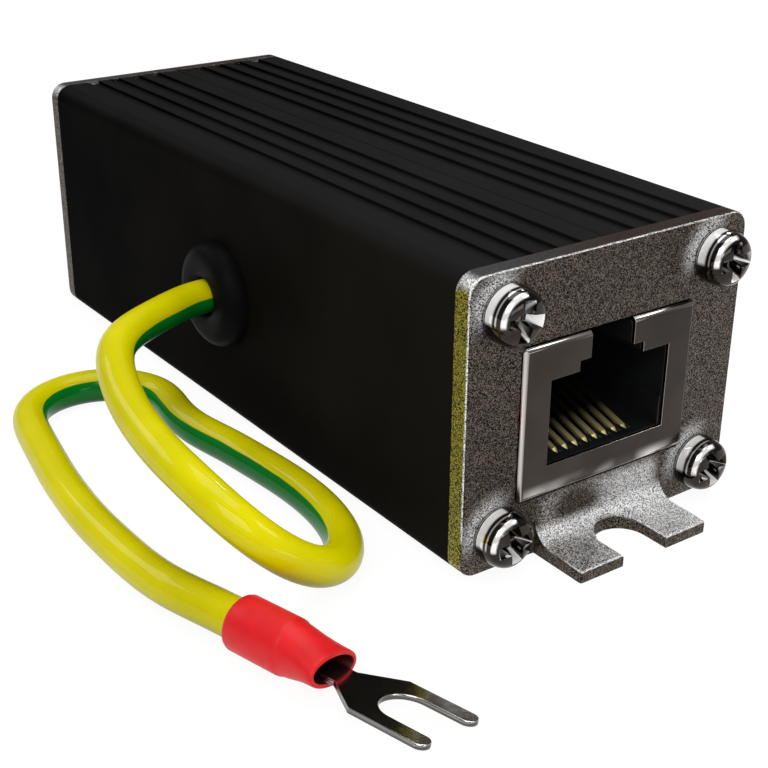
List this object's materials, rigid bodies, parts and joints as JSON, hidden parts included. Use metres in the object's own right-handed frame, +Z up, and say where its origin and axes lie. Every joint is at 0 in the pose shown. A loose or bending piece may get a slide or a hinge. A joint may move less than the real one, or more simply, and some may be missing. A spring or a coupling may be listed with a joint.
{
  "type": "ethernet surge protector",
  "caption": "In-line network surge protector: fluted black aluminium case, screwed end plates with slotted feet, a shielded socket at each end and an earth wire with a fork terminal.",
  "frame": {"origin": "bottom centre of the case and its two feet, without the earth wire, the grommet and what is on the wire", "axes": "+Z up, +Y from the front end plate to the rear one, +X to the right when looking at the front plate"},
  "size_m": [0.048, 0.0894, 0.0236],
  "materials": {
    "housing": "matte black anodised",
    "plate": "fine-grained nickel plating",
    "screws": "bright nickel plating",
    "board": "green solder mask",
    "shield": "smooth nickel plating",
    "insert": "moulded black",
    "contacts": "gold plated",
    "gas_tube": "glazed ceramic with metal bands",
    "diode_array": "moulded black",
    "earth_post": "turned",
    "grommet": "soft black",
    "wire": "yellow with a green stripe",
    "core": "stranded copper",
    "sleeve": "satin red",
    "fork": "tinned"
  },
  "bodies": {
    "root": {"housing": "housing", "front_plate": "plate", "rear_plate": "plate", "front_screws": "screws", "rear_screws": "screws", "circuit_board": "board", "front_jack_shield": "shield", "rear_jack_shield": "shield", "front_jack_body": "insert", "rear_jack_body": "insert", "front_jack_contacts": "contacts", "rear_jack_contacts": "contacts", "gas_tube_1": "gas_tube", "gas_tube_2": "gas_tube", "gas_tube_3": "gas_tube", "gas_tube_4": "gas_tube", "diode_array_1": "diode_array", "diode_array_2": "diode_array", "earth_post": "earth_post", "grommet": "grommet", "earth_wire": "wire", "board_end_core": "core", "terminal_end_core": "core", "terminal_sleeve": "sleeve", "fork_terminal": "fork"}
  },
  "joints": []
}
